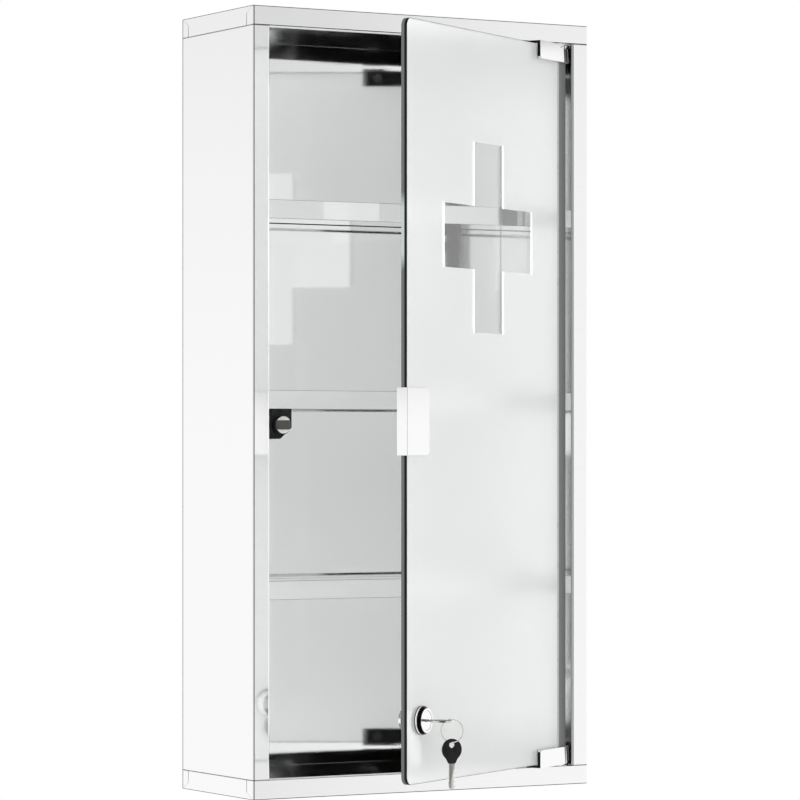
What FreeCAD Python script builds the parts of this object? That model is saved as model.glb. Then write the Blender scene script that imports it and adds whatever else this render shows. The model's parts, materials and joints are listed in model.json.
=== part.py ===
import FreeCAD, Part
import math
import os

# A wall-hung medicine cabinet: a box folded from polished steel sheet, three fixed shelves,
# and a frosted glass door on two pivots, with a handle, a magnetic catch, a cam lock and keys.
# The origin is the centre of the wall face. X points right, Y into the wall and Z up.
# Everything on the door is built with the door shut, about the pivot axis, and then swung open.

Vector = FreeCAD.Vector
RIGHT = Vector(1, 0, 0)
BACK = Vector(0, 1, 0)
UP = Vector(0, 0, 1)
CENTRE = Vector(0, 0, 0)

# Cabinet body
cabinet_width = 300.0
cabinet_depth = 118.0
cabinet_height = 600.0
sheet = 0.8
rail_height = 14.7
stile_width = 14.5
fold_depth = 12.0
rear_flange_width = 12.0
body_seam = 0.2
corner_tab_width = 10.0
corner_tab_drop = 5.5
corner_seam = 0.3
lip_end_gap = 0.5
tongue_lap = 10.0
tongue_reach = 12.0
tongue_inset = 16.0
back_panel_inset = 0.2
wall_hole_radius = 3.0
wall_hole_spacing_x = 210.0
wall_hole_spacing_z = 490.0
cut_overrun = 1.0

# Shelves
shelf_pitch = 146.85
middle_shelf_height = 10.2
shelf_setback = 44.0
shelf_front_flange = 14.5
shelf_rim = 0.9
shelf_floor_gap = 6.0
shelf_side_flange = 10.0
shelf_rear_flange = 8.0

# Glass door
door_angle = 31.0
hinge_side_gap = 2.7
free_side_gap = 7.3
door_recess = 0.94
glass_thickness = 4.8
glass_corner_radius = 6.5
pivot_from_end = 8.0

# Hinges
clip_length = 50.0
clip_height = 11.7
clip_thickness = 2.6
clip_web = 1.95
clip_end_chamfer = 5.0
clip_foot_chamfer = 1.5
liner = 0.4
hinge_plate_thickness = 4.0
hinge_plate_start_gap = 3.6
hinge_plate_end_gap = 2.0
hinge_screw_from_end = 9.0
hinge_screw_radius = 2.0
hinge_screw_head_radius = 4.4
hinge_screw_head_height = 1.8
hinge_screw_bite = 1.6
hinge_screw_play = 0.1
glass_hole_radius = 3.0
hinge_running_gap = 0.45
pivot_pin_radius = 1.6
pivot_clearance = 0.05
pivot_pin_step = 0.1
bush_wall = 0.75
bush_flange_width = 0.8
bush_flange_thickness = 0.8
bush_rise = 1.0

# Handle
handle_width = 34.0
handle_height = 50.0
handle_sheet = 1.2
handle_pad_thickness = 1.8
handle_corner_radius = 4.0
handle_above_magnet = 1.85

# Magnetic catch, under the middle shelf
catch_left = 16.0
catch_width = 24.3
catch_height = 23.1
catch_front = 13.0
catch_block_depth = 21.0
catch_tab_thickness = 4.0
catch_tab_lap = 14.0
catch_cut_width = 9.8
catch_cut_height = 8.7
boss_from_left = 15.3
boss_from_top = 12.4
boss_radius = 7.6
boss_rise = 1.5
magnet_radius = 6.6
magnet_bar_height = 7.0
magnet_recess = 0.4
magnet_seat_depth = 7.5
pole_gap = 0.45
catch_screw_radius = 1.5
catch_screw_head_radius = 2.8
catch_screw_head_height = 1.6
catch_screw_bite = 1.2
catch_screw_play = 0.1
catch_screw_spacing = 14.0

# Cam lock
lock_from_edge = 21.9
lock_from_bottom = 46.5
lock_hole_play = 0.5
gasket_thickness = 0.8
collar_radius = 10.75
collar_face_radius = 9.2
collar_band = 1.2
collar_rise = 5.0
barrel_radius = 8.0
lock_washer_radius = 10.6
lock_washer_thickness = 0.8
nut_radius = 10.0
nut_thickness = 4.5
plug_radius = 6.0
plug_clearance = 0.05
plug_recess = 0.2
plug_head_step = 1.2
plug_head_thickness = 2.0
plug_end_play = 0.1
cam_gap = 0.3
cam_thickness = 2.0
cam_reach = 37.0
cam_width = 12.0
cam_hub_radius = 8.2
cam_hang_angle = 25.0
cam_square = 7.0
cam_square_step = 0.1
cam_washer_radius = 4.9
cam_washer_thickness = 0.8
cam_screw_radius = 2.0
cam_screw_head_radius = 3.6
cam_screw_head_height = 1.6
cam_screw_bite = 1.9
screw_slot_width = 0.9
screw_slot_depth = 0.7

# Keys and ring
bow_radius = 8.0
bow_thickness = 1.3
bow_neck = 2.2
bow_neck_width = 5.6
bow_neck_angle = 38.0
bow_hole_radius = 2.3
bow_hole_offset = 3.5
blade_length = 18.7
blade_width = 4.8
blade_thickness = 1.2
blade_tip_chamfer = 1.2
tang_length = 6.0
tang_width = 3.6
tang_thickness = 0.6
groove_width = 1.2
groove_depth = 0.35
notch_half_width = 1.5
notch_place_shares = (0.30, 0.47, 0.64, 0.81)
notch_depth_shares = (0.20, 0.32, 0.14, 0.26)
key_stand_off = 1.6
keyway_clearance = 0.3
keyway_end_gap = 0.4
ring_radius = 8.5
ring_wire_radius = 0.45
ring_hole_angle = 125.0
ring_turn = 11.0
spare_key_turn = -35.0
spare_key_drop = 1.7

# Places that follow from the sizes above
half_width = cabinet_width / 2
half_height = cabinet_height / 2
front_face = -cabinet_depth
opening_top = half_height - rail_height
panel_end = opening_top - body_seam
box_rear = -sheet
shelf_rear = box_rear - sheet
shelf_front = front_face + shelf_setback
skin_inside = half_width - sheet

door_end_gap = liner + clip_web + hinge_running_gap + bush_flange_thickness
glass_width = cabinet_width - 2 * stile_width - hinge_side_gap - free_side_gap
glass_half_height = opening_top - door_end_gap
glass_half = glass_thickness / 2
glass_right = pivot_from_end
glass_left = pivot_from_end - glass_width
pivot_x = half_width - stile_width - hinge_side_gap - pivot_from_end
pivot_y = front_face + door_recess + glass_half

bush_bore_radius = pivot_pin_radius + pivot_clearance
bush_radius = bush_bore_radius + bush_wall
bush_flange_radius = bush_radius + bush_flange_width
web_bottom = glass_half_height + liner
web_top = web_bottom + clip_web
clip_bottom = glass_half_height - clip_height
clip_left = glass_right - clip_length
clip_back = -glass_half - liner
clip_front = clip_back - clip_thickness
plate_front = glass_half + liner
plate_back = plate_front + hinge_plate_thickness
plate_left = clip_left + hinge_plate_start_gap
plate_right = glass_right - hinge_plate_end_gap
hinge_screw_z = (clip_bottom + web_bottom) / 2
hinge_screw_places = (plate_left + hinge_screw_from_end, plate_right - hinge_screw_from_end)

catch_x = -half_width + catch_left
catch_y = front_face + catch_front
catch_top = middle_shelf_height - shelf_front_flange
boss_x = catch_x + boss_from_left
boss_z = catch_top - boss_from_top
boss_face = catch_y - boss_rise
catch_tab_end = shelf_front + catch_tab_lap
catch_screw_y = shelf_front + catch_tab_lap / 2
catch_screw_middle = catch_x + catch_width / 2
catch_screw_places = (
    catch_screw_middle - catch_screw_spacing / 2,
    catch_screw_middle + catch_screw_spacing / 2,
)

handle_back = glass_half + handle_pad_thickness + handle_sheet
handle_z = boss_z + handle_above_magnet
handle_right = glass_left - handle_sheet + handle_width
pole_face = pivot_y + handle_back + pole_gap

lock_x = glass_left + lock_from_edge
lock_z = lock_from_bottom - glass_half_height
lock_face = -glass_half - collar_rise
blade_depth = blade_length - key_stand_off
barrel_end = lock_face + blade_depth + keyway_end_gap
cam_front = barrel_end + cam_gap
cam_back = cam_front + cam_thickness
bow_centre_reach = key_stand_off + bow_neck + bow_radius
key_hole_y = lock_face - bow_centre_reach - bow_hole_offset


def block(x0, x1, y0, y1, z0, z1):
    """A box between two corners."""
    return Part.makeBox(x1 - x0, y1 - y0, z1 - z0, Vector(x0, y0, z0))


def rod(radius, start, end, axis=BACK, at=CENTRE):
    """A round bar along an axis through a point, from start to end on that axis."""
    return Part.makeCylinder(radius, end - start, at + axis * start, axis)


def ring_disc(outer, inner, start, end, axis=BACK, at=CENTRE):
    """A flat ring: a round bar with a round hole."""
    hole = rod(inner, start - cut_overrun, end + cut_overrun, axis, at)
    return rod(outer, start, end, axis, at).cut(hole)


def prism(points, depth):
    """A straight solid on a flat outline, drawn out along a vector."""
    outline = Part.makePolygon(points + points[:1])
    return Part.Face(outline).extrude(depth)


def runs_back(edge):
    """True for an edge that runs from front to back."""
    along = edge.tangentAt(edge.FirstParameter)
    return abs(along.y) > abs(along.x) + abs(along.z)


def rounded_plate(x0, x1, y0, y1, z0, z1, radius):
    """An upright plate whose corners are rounded as seen from the front."""
    plate = block(x0, x1, y0, y1, z0, z1)
    corners = [edge for edge in plate.Edges if runs_back(edge)]
    return plate.makeFillet(radius, corners)


def joined(pieces):
    """One solid from pieces that touch or overlap."""
    return pieces[0].fuse(pieces[1:]).removeSplitter()


def upside_down(shape):
    """The same piece for the lower end of the cabinet."""
    return shape.mirror(CENTRE, UP)


def on_door(shape):
    """Swings a piece from the shut door to the open door and puts it on the pivot axis."""
    placed = shape.copy()
    placed.rotate(CENTRE, UP, door_angle)
    placed.translate(Vector(pivot_x, pivot_y, 0))
    return placed


def slotted_screw(radius, length, head_radius, head_height):
    """A screw along +Y with its head's underside at zero and its shank in front of it."""
    shank = rod(radius, -length, 0)
    head = rod(head_radius, 0, head_height)
    slot = block(-head_radius, head_radius, head_height - screw_slot_depth, head_height + cut_overrun,
                 -screw_slot_width / 2, screw_slot_width / 2)
    return joined([shank, head]).cut(slot)


def top_tray():
    """The top: a plate with a rail in front, side and rear flanges, and a lip that holds a pivot bush."""
    plate = block(-half_width, half_width, front_face, box_rear, half_height - sheet, half_height)
    rail = block(-half_width, half_width, front_face, front_face + sheet, opening_top, half_height)
    rear = block(-half_width, half_width, box_rear - sheet, box_rear, opening_top, half_height)
    lip_reach = half_width - stile_width - lip_end_gap
    lip = block(-lip_reach, lip_reach, front_face, front_face + fold_depth,
                opening_top, opening_top + sheet)
    pieces = [plate, rail, rear, lip]
    for edge_x in (-half_width, half_width - sheet):
        pieces += tray_side(edge_x)
    pivot = Vector(pivot_x, pivot_y, 0)
    bush_hole = rod(bush_radius, opening_top - cut_overrun, opening_top + bush_rise + sheet, UP, pivot)
    return joined(pieces).cut(bush_hole)


def tray_side(edge_x):
    """One side of the tray: a flange between two tabs that the rail and the rear flange fold round."""
    thickness = Vector(sheet, 0, 0)
    seam_z = half_height - corner_tab_drop

    def at(y, z):
        return Vector(edge_x, y, z)

    pieces = []
    for corner, inward in ((front_face, 1), (box_rear, -1)):
        tab_end = corner + inward * corner_tab_width
        tab = [
            at(corner, half_height),
            at(tab_end, seam_z),
            at(tab_end, opening_top),
            at(corner, opening_top),
        ]
        pieces.append(prism(tab, thickness))
    tab_inset = corner_tab_width + corner_seam
    flange = [
        at(front_face + corner_seam, half_height),
        at(front_face + tab_inset, seam_z),
        at(front_face + tab_inset, opening_top),
        at(box_rear - tab_inset, opening_top),
        at(box_rear - tab_inset, seam_z),
        at(box_rear - corner_seam, half_height),
    ]
    pieces.append(prism(flange, thickness))
    return pieces


def left_side_panel():
    """A side: skin, stile with its fold, rear flange, and tongues that go inside the two trays."""
    left = -half_width
    stile_edge = left + stile_width
    pieces = [
        block(left, left + sheet, front_face, box_rear, -panel_end, panel_end),
        block(left, stile_edge, front_face, front_face + sheet, -panel_end, panel_end),
        block(stile_edge - sheet, stile_edge, front_face, front_face + fold_depth, -panel_end, panel_end),
        block(left, left + rear_flange_width, box_rear - sheet, box_rear, -panel_end, panel_end),
    ]
    low = panel_end - tongue_lap
    high = opening_top + tongue_reach
    side_tongue = block(left + sheet, left + 2 * sheet, front_face + tongue_inset, -tongue_inset, low, high)
    stile_tongue = block(left + 2 * sheet, stile_edge - sheet,
                         front_face + sheet, front_face + 2 * sheet, low, high)
    for tongue in (side_tongue, stile_tongue):
        pieces.append(tongue)
        pieces.append(upside_down(tongue))
    return joined(pieces)


def back_panel():
    """The back: a flat sheet on the rear flanges, with four holes for wall screws."""
    reach_x = half_width - back_panel_inset
    reach_z = half_height - back_panel_inset
    panel = block(-reach_x, reach_x, box_rear, 0, -reach_z, reach_z)
    for x in (-wall_hole_spacing_x / 2, wall_hole_spacing_x / 2):
        for z in (-wall_hole_spacing_z / 2, wall_hole_spacing_z / 2):
            hole = rod(wall_hole_radius, box_rear - cut_overrun, cut_overrun, BACK, Vector(x, 0, z))
            panel = panel.cut(hole)
    return panel


def shelf(top):
    """A hollow shelf: two plates behind a front flange that stands proud of both, and folded sides."""
    bottom = top - shelf_front_flange
    plate_top = top - shelf_rim
    floor_bottom = bottom + shelf_rim
    floor_end = shelf_rear - shelf_floor_gap
    pieces = [
        block(-skin_inside, skin_inside, shelf_front, shelf_front + sheet, bottom, top),
        block(-skin_inside, skin_inside, shelf_front, shelf_rear, plate_top - sheet, plate_top),
        block(-skin_inside, skin_inside, shelf_front, floor_end, floor_bottom, floor_bottom + sheet),
        block(-skin_inside, skin_inside, shelf_rear - sheet, shelf_rear,
              top - shelf_rear_flange, plate_top),
    ]
    for x in (-skin_inside, skin_inside - sheet):
        pieces.append(block(x, x + sheet, shelf_front, shelf_rear, top - shelf_side_flange, plate_top))
    return joined(pieces)


def middle_shelf():
    """The middle shelf, with two holes in its lower plate for the screws of the catch."""
    piece = shelf(middle_shelf_height)
    for x in catch_screw_places:
        at = Vector(x, catch_screw_y, catch_top + shelf_rim)
        piece = piece.cut(rod(catch_screw_radius, -cut_overrun, sheet + cut_overrun, UP, at))
    return piece


def pivot_bush():
    """A flanged bush in the lip, which the pivot pin turns in."""
    at = Vector(pivot_x, pivot_y, opening_top)
    body = rod(bush_radius, 0, sheet + bush_rise, UP, at)
    flange = rod(bush_flange_radius, -bush_flange_thickness, 0, UP, at)
    bore = rod(bush_bore_radius, -bush_flange_thickness - cut_overrun,
               sheet + bush_rise + cut_overrun, UP, at)
    return joined([body, flange]).cut(bore)


def pivot_pin():
    """A pin pressed into the web of the clip and turning in the bush."""
    top = opening_top + sheet + bush_rise - pivot_pin_step
    return rod(pivot_pin_radius, web_bottom, top, UP)


def hinge_clip():
    """A bright clip: a front plate on the glass and a web over its edge, which carries the pin."""
    front_outline = [
        Vector(clip_left, clip_front, web_top),
        Vector(clip_left, clip_front, clip_bottom + clip_foot_chamfer),
        Vector(clip_left + clip_foot_chamfer, clip_front, clip_bottom),
        Vector(glass_right, clip_front, clip_bottom),
        Vector(glass_right, clip_front, glass_half_height),
        Vector(glass_right - clip_end_chamfer, clip_front, web_top),
    ]
    front = prism(front_outline, Vector(0, clip_thickness, 0))
    web = block(clip_left, glass_right - clip_end_chamfer, clip_front, plate_back, web_bottom, web_top)
    piece = joined([front, web])
    for x in hinge_screw_places:
        at = Vector(x, 0, hinge_screw_z)
        piece = piece.cut(rod(hinge_screw_radius, clip_back - hinge_screw_bite, clip_back, BACK, at))
    pin_hole = rod(pivot_pin_radius, web_bottom - cut_overrun, web_top + cut_overrun, UP)
    return piece.cut(pin_hole)


def hinge_plate():
    """The black plate behind the glass, which two screws pull towards the clip."""
    piece = block(plate_left, plate_right, plate_front, plate_back, clip_bottom, web_bottom)
    for x in hinge_screw_places:
        at = Vector(x, 0, hinge_screw_z)
        hole_radius = hinge_screw_radius + hinge_screw_play
        piece = piece.cut(rod(hole_radius, plate_front - cut_overrun, plate_back + cut_overrun, BACK, at))
    return piece


def hinge_liner():
    """A soft liner folded over the edge of the glass, inside the clip."""
    liner_right = glass_right - glass_corner_radius
    outer = block(clip_left, liner_right, clip_back, plate_front, clip_bottom, web_bottom)
    inner = block(clip_left - cut_overrun, liner_right + cut_overrun, -glass_half, glass_half,
                  clip_bottom - cut_overrun, glass_half_height)
    piece = outer.cut(inner)
    for x in hinge_screw_places:
        at = Vector(x, 0, hinge_screw_z)
        hole = rod(glass_hole_radius, clip_back - cut_overrun, plate_front + cut_overrun, BACK, at)
        piece = piece.cut(hole)
    return piece


def hinge_screws():
    """The two screws of one hinge."""
    length = plate_back - clip_back + hinge_screw_bite
    screws = []
    for x in hinge_screw_places:
        screw = slotted_screw(hinge_screw_radius, length, hinge_screw_head_radius, hinge_screw_head_height)
        screw.translate(Vector(x, plate_back, hinge_screw_z))
        screws.append(screw)
    return screws


def door_glass():
    """The pane, with rounded corners and holes for the hinge screws and the lock."""
    pane = rounded_plate(glass_left, glass_right, -glass_half, glass_half,
                         -glass_half_height, glass_half_height, glass_corner_radius)
    start = -glass_half - cut_overrun
    end = glass_half + cut_overrun
    for x in hinge_screw_places:
        for z in (-hinge_screw_z, hinge_screw_z):
            pane = pane.cut(rod(glass_hole_radius, start, end, BACK, Vector(x, 0, z)))
    lock_hole = rod(barrel_radius + lock_hole_play, start, end, BACK, Vector(lock_x, 0, lock_z))
    return pane.cut(lock_hole)


def handle_leaf(start, end, left):
    """A flat leaf of the handle, rounded at its two corners on the glass."""
    low = handle_z - handle_height / 2
    high = handle_z + handle_height / 2
    leaf = rounded_plate(left - handle_width, handle_right, start, end, low, high, handle_corner_radius)
    cut_away = block(left - handle_width - cut_overrun, left, start - cut_overrun, end + cut_overrun,
                     low - cut_overrun, high + cut_overrun)
    return leaf.cut(cut_away)


def handle_clip():
    """The pull: a strip of sheet bent round the free edge of the glass."""
    outer = glass_left - handle_sheet
    front = handle_leaf(-glass_half - handle_sheet, -glass_half, outer)
    rear = handle_leaf(handle_back - handle_sheet, handle_back, outer)
    web = block(outer, glass_left, -glass_half - handle_sheet, handle_back,
                handle_z - handle_height / 2, handle_z + handle_height / 2)
    return joined([front, rear, web])


def handle_pad():
    """The soft pad between the glass and the rear leaf of the handle."""
    return handle_leaf(glass_half, glass_half + handle_pad_thickness, glass_left)


def catch_housing():
    """The body of the catch: a block with a round boss, and a tab screwed up under the shelf."""
    catch_right = catch_x + catch_width
    catch_bottom = catch_top - catch_height
    outline = [
        Vector(catch_x, catch_y, catch_top),
        Vector(catch_x, catch_y, catch_bottom),
        Vector(catch_right - catch_cut_width, catch_y, catch_bottom),
        Vector(catch_right, catch_y, catch_bottom + catch_cut_height),
        Vector(catch_right, catch_y, catch_top),
    ]
    body = prism(outline, Vector(0, catch_block_depth, 0))
    tab = block(catch_x, catch_right, catch_y, catch_tab_end, catch_top - catch_tab_thickness, catch_top)
    pad = block(catch_x, catch_right, shelf_front + sheet, catch_tab_end, catch_top, catch_top + shelf_rim)
    axis = Vector(boss_x, 0, boss_z)
    boss = rod(boss_radius, boss_face, catch_y, BACK, axis)
    seat = rod(magnet_radius, boss_face - cut_overrun, boss_face + magnet_seat_depth, BACK, axis)
    piece = joined([body, tab, pad, boss]).cut(seat)
    for x in catch_screw_places:
        at = Vector(x, catch_screw_y, catch_top)
        hole_radius = catch_screw_radius + catch_screw_play
        hole = rod(hole_radius, -catch_tab_thickness - cut_overrun, shelf_rim + cut_overrun, UP, at)
        piece = piece.cut(hole)
    return piece


def magnet_band(start):
    """The middle slice of the round seat, which the bar magnet fills."""
    return block(boss_x - magnet_radius, boss_x + magnet_radius, start, boss_face + magnet_seat_depth,
                 boss_z - magnet_bar_height / 2, boss_z + magnet_bar_height / 2)


def catch_magnet():
    """The bar magnet between the two pole plates."""
    start = pole_face + magnet_recess
    disc = rod(magnet_radius, start, boss_face + magnet_seat_depth, BACK, Vector(boss_x, 0, boss_z))
    return disc.common(magnet_band(start))


def catch_pole_plates():
    """The two steel plates above and below the magnet, which meet the back of the handle."""
    disc = rod(magnet_radius, pole_face, boss_face + magnet_seat_depth, BACK, Vector(boss_x, 0, boss_z))
    return Part.makeCompound(disc.cut(magnet_band(pole_face)).Solids)


def catch_screws():
    """Two screws, driven up through the tab into the shelf's lower plate."""
    length = catch_tab_thickness + shelf_rim + sheet + catch_screw_bite
    screws = []
    for x in catch_screw_places:
        screw = slotted_screw(catch_screw_radius, length, catch_screw_head_radius, catch_screw_head_height)
        screw.rotate(CENTRE, RIGHT, -90)
        screw.translate(Vector(x, catch_screw_y, catch_top - catch_tab_thickness))
        screws.append(screw)
    return Part.makeCompound(screws)


def lock_body():
    """The lock's case: a bevelled collar in front of the glass and a barrel through it."""
    axis = Vector(lock_x, 0, lock_z)
    base = -glass_half - gasket_thickness
    band_end = base - collar_band
    band = rod(collar_radius, band_end, base, BACK, axis)
    bevel = Part.makeCone(collar_face_radius, collar_radius, band_end - lock_face,
                          axis + BACK * lock_face, BACK)
    barrel = rod(barrel_radius, base, barrel_end, BACK, axis)
    bore = rod(plug_radius + plug_clearance, lock_face - cut_overrun, barrel_end + cut_overrun, BACK, axis)
    seat_end = lock_face + plug_recess + plug_head_thickness + plug_end_play
    seat_radius = plug_radius + plug_head_step + plug_clearance
    seat = rod(seat_radius, lock_face - cut_overrun, seat_end, BACK, axis)
    return joined([band, bevel, barrel]).cut(bore).cut(seat)


def lock_gasket():
    """The ring between the collar and the glass."""
    axis = Vector(lock_x, 0, lock_z)
    inner = barrel_radius + lock_hole_play
    return ring_disc(collar_radius, inner, -glass_half - gasket_thickness, -glass_half, BACK, axis)


def lock_washer():
    """The ring between the glass and the nut."""
    axis = Vector(lock_x, 0, lock_z)
    end = glass_half + lock_washer_thickness
    return ring_disc(lock_washer_radius, barrel_radius, glass_half, end, BACK, axis)


def lock_nut():
    """The round nut that clamps the lock to the glass."""
    axis = Vector(lock_x, 0, lock_z)
    start = glass_half + lock_washer_thickness
    return ring_disc(nut_radius, barrel_radius, start, start + nut_thickness, BACK, axis)


def lock_plug():
    """The turning core, with a keyway in front and a square end for the cam."""
    axis = Vector(lock_x, 0, lock_z)
    start = lock_face + plug_recess
    head = rod(plug_radius + plug_head_step, start, start + plug_head_thickness, BACK, axis)
    core = rod(plug_radius, start, cam_front, BACK, axis)
    half = cam_square / 2
    square = block(lock_x - half, lock_x + half, cam_front, cam_back - cam_square_step,
                   lock_z - half, lock_z + half)
    half_slot = blade_width / 2 + keyway_clearance
    half_gap = blade_thickness / 2 + keyway_clearance
    keyway = block(lock_x - half_slot, lock_x + half_slot, lock_face - cut_overrun, barrel_end,
                   lock_z - half_gap, lock_z + half_gap)
    thread = rod(cam_screw_radius, cam_back - cam_screw_bite, cam_back + cut_overrun, BACK, axis)
    return joined([head, core, square]).cut(keyway).cut(thread)


def lock_cam():
    """The bolt of the lock: a flat tongue that hangs down and a little towards the hinge."""
    axis = Vector(lock_x, 0, lock_z)
    half = cam_width / 2
    tip_z = lock_z - cam_reach + half
    hub = rod(cam_hub_radius, cam_front, cam_back, BACK, axis)
    tip = rod(half, cam_front, cam_back, BACK, Vector(lock_x, 0, tip_z))
    tongue = block(lock_x - half, lock_x + half, cam_front, cam_back, tip_z, lock_z)
    hole_half = cam_square / 2
    hole = block(lock_x - hole_half, lock_x + hole_half, cam_front - cut_overrun, cam_back + cut_overrun,
                 lock_z - hole_half, lock_z + hole_half)
    bolt = joined([hub, tongue, tip])
    bolt.rotate(axis, BACK, -cam_hang_angle)
    return bolt.cut(hole)


def cam_washer():
    """The washer that keeps the cam on its square."""
    axis = Vector(lock_x, 0, lock_z)
    end = cam_back + cam_washer_thickness
    return ring_disc(cam_washer_radius, cam_screw_radius, cam_back, end, BACK, axis)


def cam_screw():
    """The screw in the end of the plug."""
    length = cam_washer_thickness + cam_screw_bite
    screw = slotted_screw(cam_screw_radius, length, cam_screw_head_radius, cam_screw_head_height)
    screw.translate(Vector(lock_x, cam_back + cam_washer_thickness, lock_z))
    return screw


def key_tang():
    """The root of the blade, which the bow is moulded round. The bow's hole is at the origin."""
    neck_end = bow_hole_offset + bow_radius + bow_neck
    return block(-tang_width / 2, tang_width / 2, neck_end - tang_length, neck_end,
                 -tang_thickness / 2, tang_thickness / 2)


def key_bow():
    """The black round grip of a key, lying flat."""
    half = bow_thickness / 2
    neck_end = bow_hole_offset + bow_radius + bow_neck
    disc = rod(bow_radius, -half, half, UP, Vector(0, bow_hole_offset, 0))
    shoulder = bow_radius * math.sin(math.radians(bow_neck_angle))
    shoulder_y = bow_hole_offset + bow_radius * math.cos(math.radians(bow_neck_angle))
    neck_outline = [
        Vector(-shoulder, shoulder_y, -half),
        Vector(shoulder, shoulder_y, -half),
        Vector(bow_neck_width / 2, neck_end, -half),
        Vector(-bow_neck_width / 2, neck_end, -half),
    ]
    neck = prism(neck_outline, Vector(0, 0, bow_thickness))
    hole = rod(bow_hole_radius, -half - cut_overrun, half + cut_overrun, UP)
    return joined([disc, neck]).cut(hole).cut(key_tang())


def key_blade():
    """The metal blade of a key, with a groove along it and notches in one edge."""
    half = blade_width / 2
    half_thick = blade_thickness / 2
    root = bow_hole_offset + bow_radius + bow_neck
    tip = root + blade_length
    outline = [
        Vector(-half, root, -half_thick),
        Vector(half, root, -half_thick),
        Vector(half, tip - blade_tip_chamfer, -half_thick),
        Vector(half - blade_tip_chamfer, tip, -half_thick),
        Vector(blade_tip_chamfer - half, tip, -half_thick),
        Vector(-half, tip - blade_tip_chamfer, -half_thick),
    ]
    piece = joined([prism(outline, Vector(0, 0, blade_thickness)), key_tang()])
    groove = block(-groove_width / 2, groove_width / 2, root, tip + cut_overrun,
                   half_thick - groove_depth, half_thick + cut_overrun)
    piece = piece.cut(groove)
    for place_share, depth_share in zip(notch_place_shares, notch_depth_shares):
        y = root + place_share * blade_length
        notch = [
            Vector(half, y - notch_half_width, -blade_thickness),
            Vector(half - depth_share * blade_width, y, -blade_thickness),
            Vector(half, y + notch_half_width, -blade_thickness),
        ]
        piece = piece.cut(prism(notch, Vector(0, 0, 2 * blade_thickness)))
    return piece


def ring_outward():
    """The level direction in the ring's plane that points away from the door."""
    turn = math.radians(ring_turn)
    return Vector(math.sin(turn), -math.cos(turn), 0)


def ring_centre():
    """The ring's centre, worked out from the bow's hole and where on the ring that hole sits."""
    angle = math.radians(ring_hole_angle)
    hole = Vector(lock_x, key_hole_y, lock_z)
    return hole - ring_outward() * (ring_radius * math.cos(angle)) - UP * (ring_radius * math.sin(angle))


def key_ring():
    """The wire ring that joins the two keys."""
    return Part.makeTorus(ring_radius, ring_wire_radius, ring_centre(), ring_outward().cross(UP))


def in_lock(shape):
    """Puts a key in the lock, lying level."""
    placed = shape.copy()
    placed.translate(Vector(lock_x, key_hole_y, lock_z))
    return placed


def on_ring(shape):
    """Hangs a key from the lowest point of the ring, with its blade down."""
    placed = shape.copy()
    placed.rotate(CENTRE, RIGHT, -90)
    placed.rotate(CENTRE, UP, spare_key_turn)
    placed.translate(ring_centre() - UP * (ring_radius + spare_key_drop))
    return placed


def both_ends(piece):
    """A hinge piece for the upper end of the door and its mirror image for the lower end."""
    return on_door(piece), on_door(upside_down(piece))


def all_pieces():
    """Every piece of the cabinet under the name of its node."""
    pieces = {
        "top_tray": top_tray(),
        "bottom_tray": upside_down(top_tray()),
        "left_side_panel": left_side_panel(),
        "right_side_panel": left_side_panel().mirror(CENTRE, RIGHT),
        "back_panel": back_panel(),
        "upper_shelf": shelf(middle_shelf_height + shelf_pitch),
        "middle_shelf": middle_shelf(),
        "lower_shelf": shelf(middle_shelf_height - shelf_pitch),
        "upper_pivot_bush": pivot_bush(),
        "lower_pivot_bush": upside_down(pivot_bush()),
        "catch_housing": catch_housing(),
        "catch_magnet": catch_magnet(),
        "catch_pole_plates": catch_pole_plates(),
        "catch_screws": catch_screws(),
        "door_glass": on_door(door_glass()),
        "handle_clip": on_door(handle_clip()),
        "handle_pad": on_door(handle_pad()),
        "lock_body": on_door(lock_body()),
        "lock_gasket": on_door(lock_gasket()),
        "lock_washer": on_door(lock_washer()),
        "lock_nut": on_door(lock_nut()),
        "lock_plug": on_door(lock_plug()),
        "lock_cam": on_door(lock_cam()),
        "cam_washer": on_door(cam_washer()),
        "cam_screw": on_door(cam_screw()),
        "key_bow": on_door(in_lock(key_bow())),
        "key_blade": on_door(in_lock(key_blade())),
        "key_ring": on_door(key_ring()),
        "spare_key_bow": on_door(on_ring(key_bow())),
        "spare_key_blade": on_door(on_ring(key_blade())),
    }
    pieces["upper_hinge_clip"], pieces["lower_hinge_clip"] = both_ends(hinge_clip())
    pieces["upper_hinge_plate"], pieces["lower_hinge_plate"] = both_ends(hinge_plate())
    pieces["upper_pivot_pin"], pieces["lower_pivot_pin"] = both_ends(pivot_pin())
    pieces["hinge_liners"] = Part.makeCompound(both_ends(hinge_liner()))
    screws = [placed for screw in hinge_screws() for placed in both_ends(screw)]
    pieces["hinge_screws"] = Part.makeCompound(screws)
    return pieces


os.makedirs("parts", exist_ok=True)
for name, shape in all_pieces().items():
    shape.exportStep(f"parts/{name}.step")
    print(name, "solids", len(shape.Solids), "valid", shape.isValid(), "volume", round(shape.Volume, 1))
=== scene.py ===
# %% [markdown]
# A wall-hung medicine cabinet of polished steel, with a frosted glass door, a lock and keys.
# The imported model is the fixed frame: every piece below takes its place from it, in metres.
# The box of the bare model is kept at once; the floor is placed below it.

import json
import math

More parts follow.
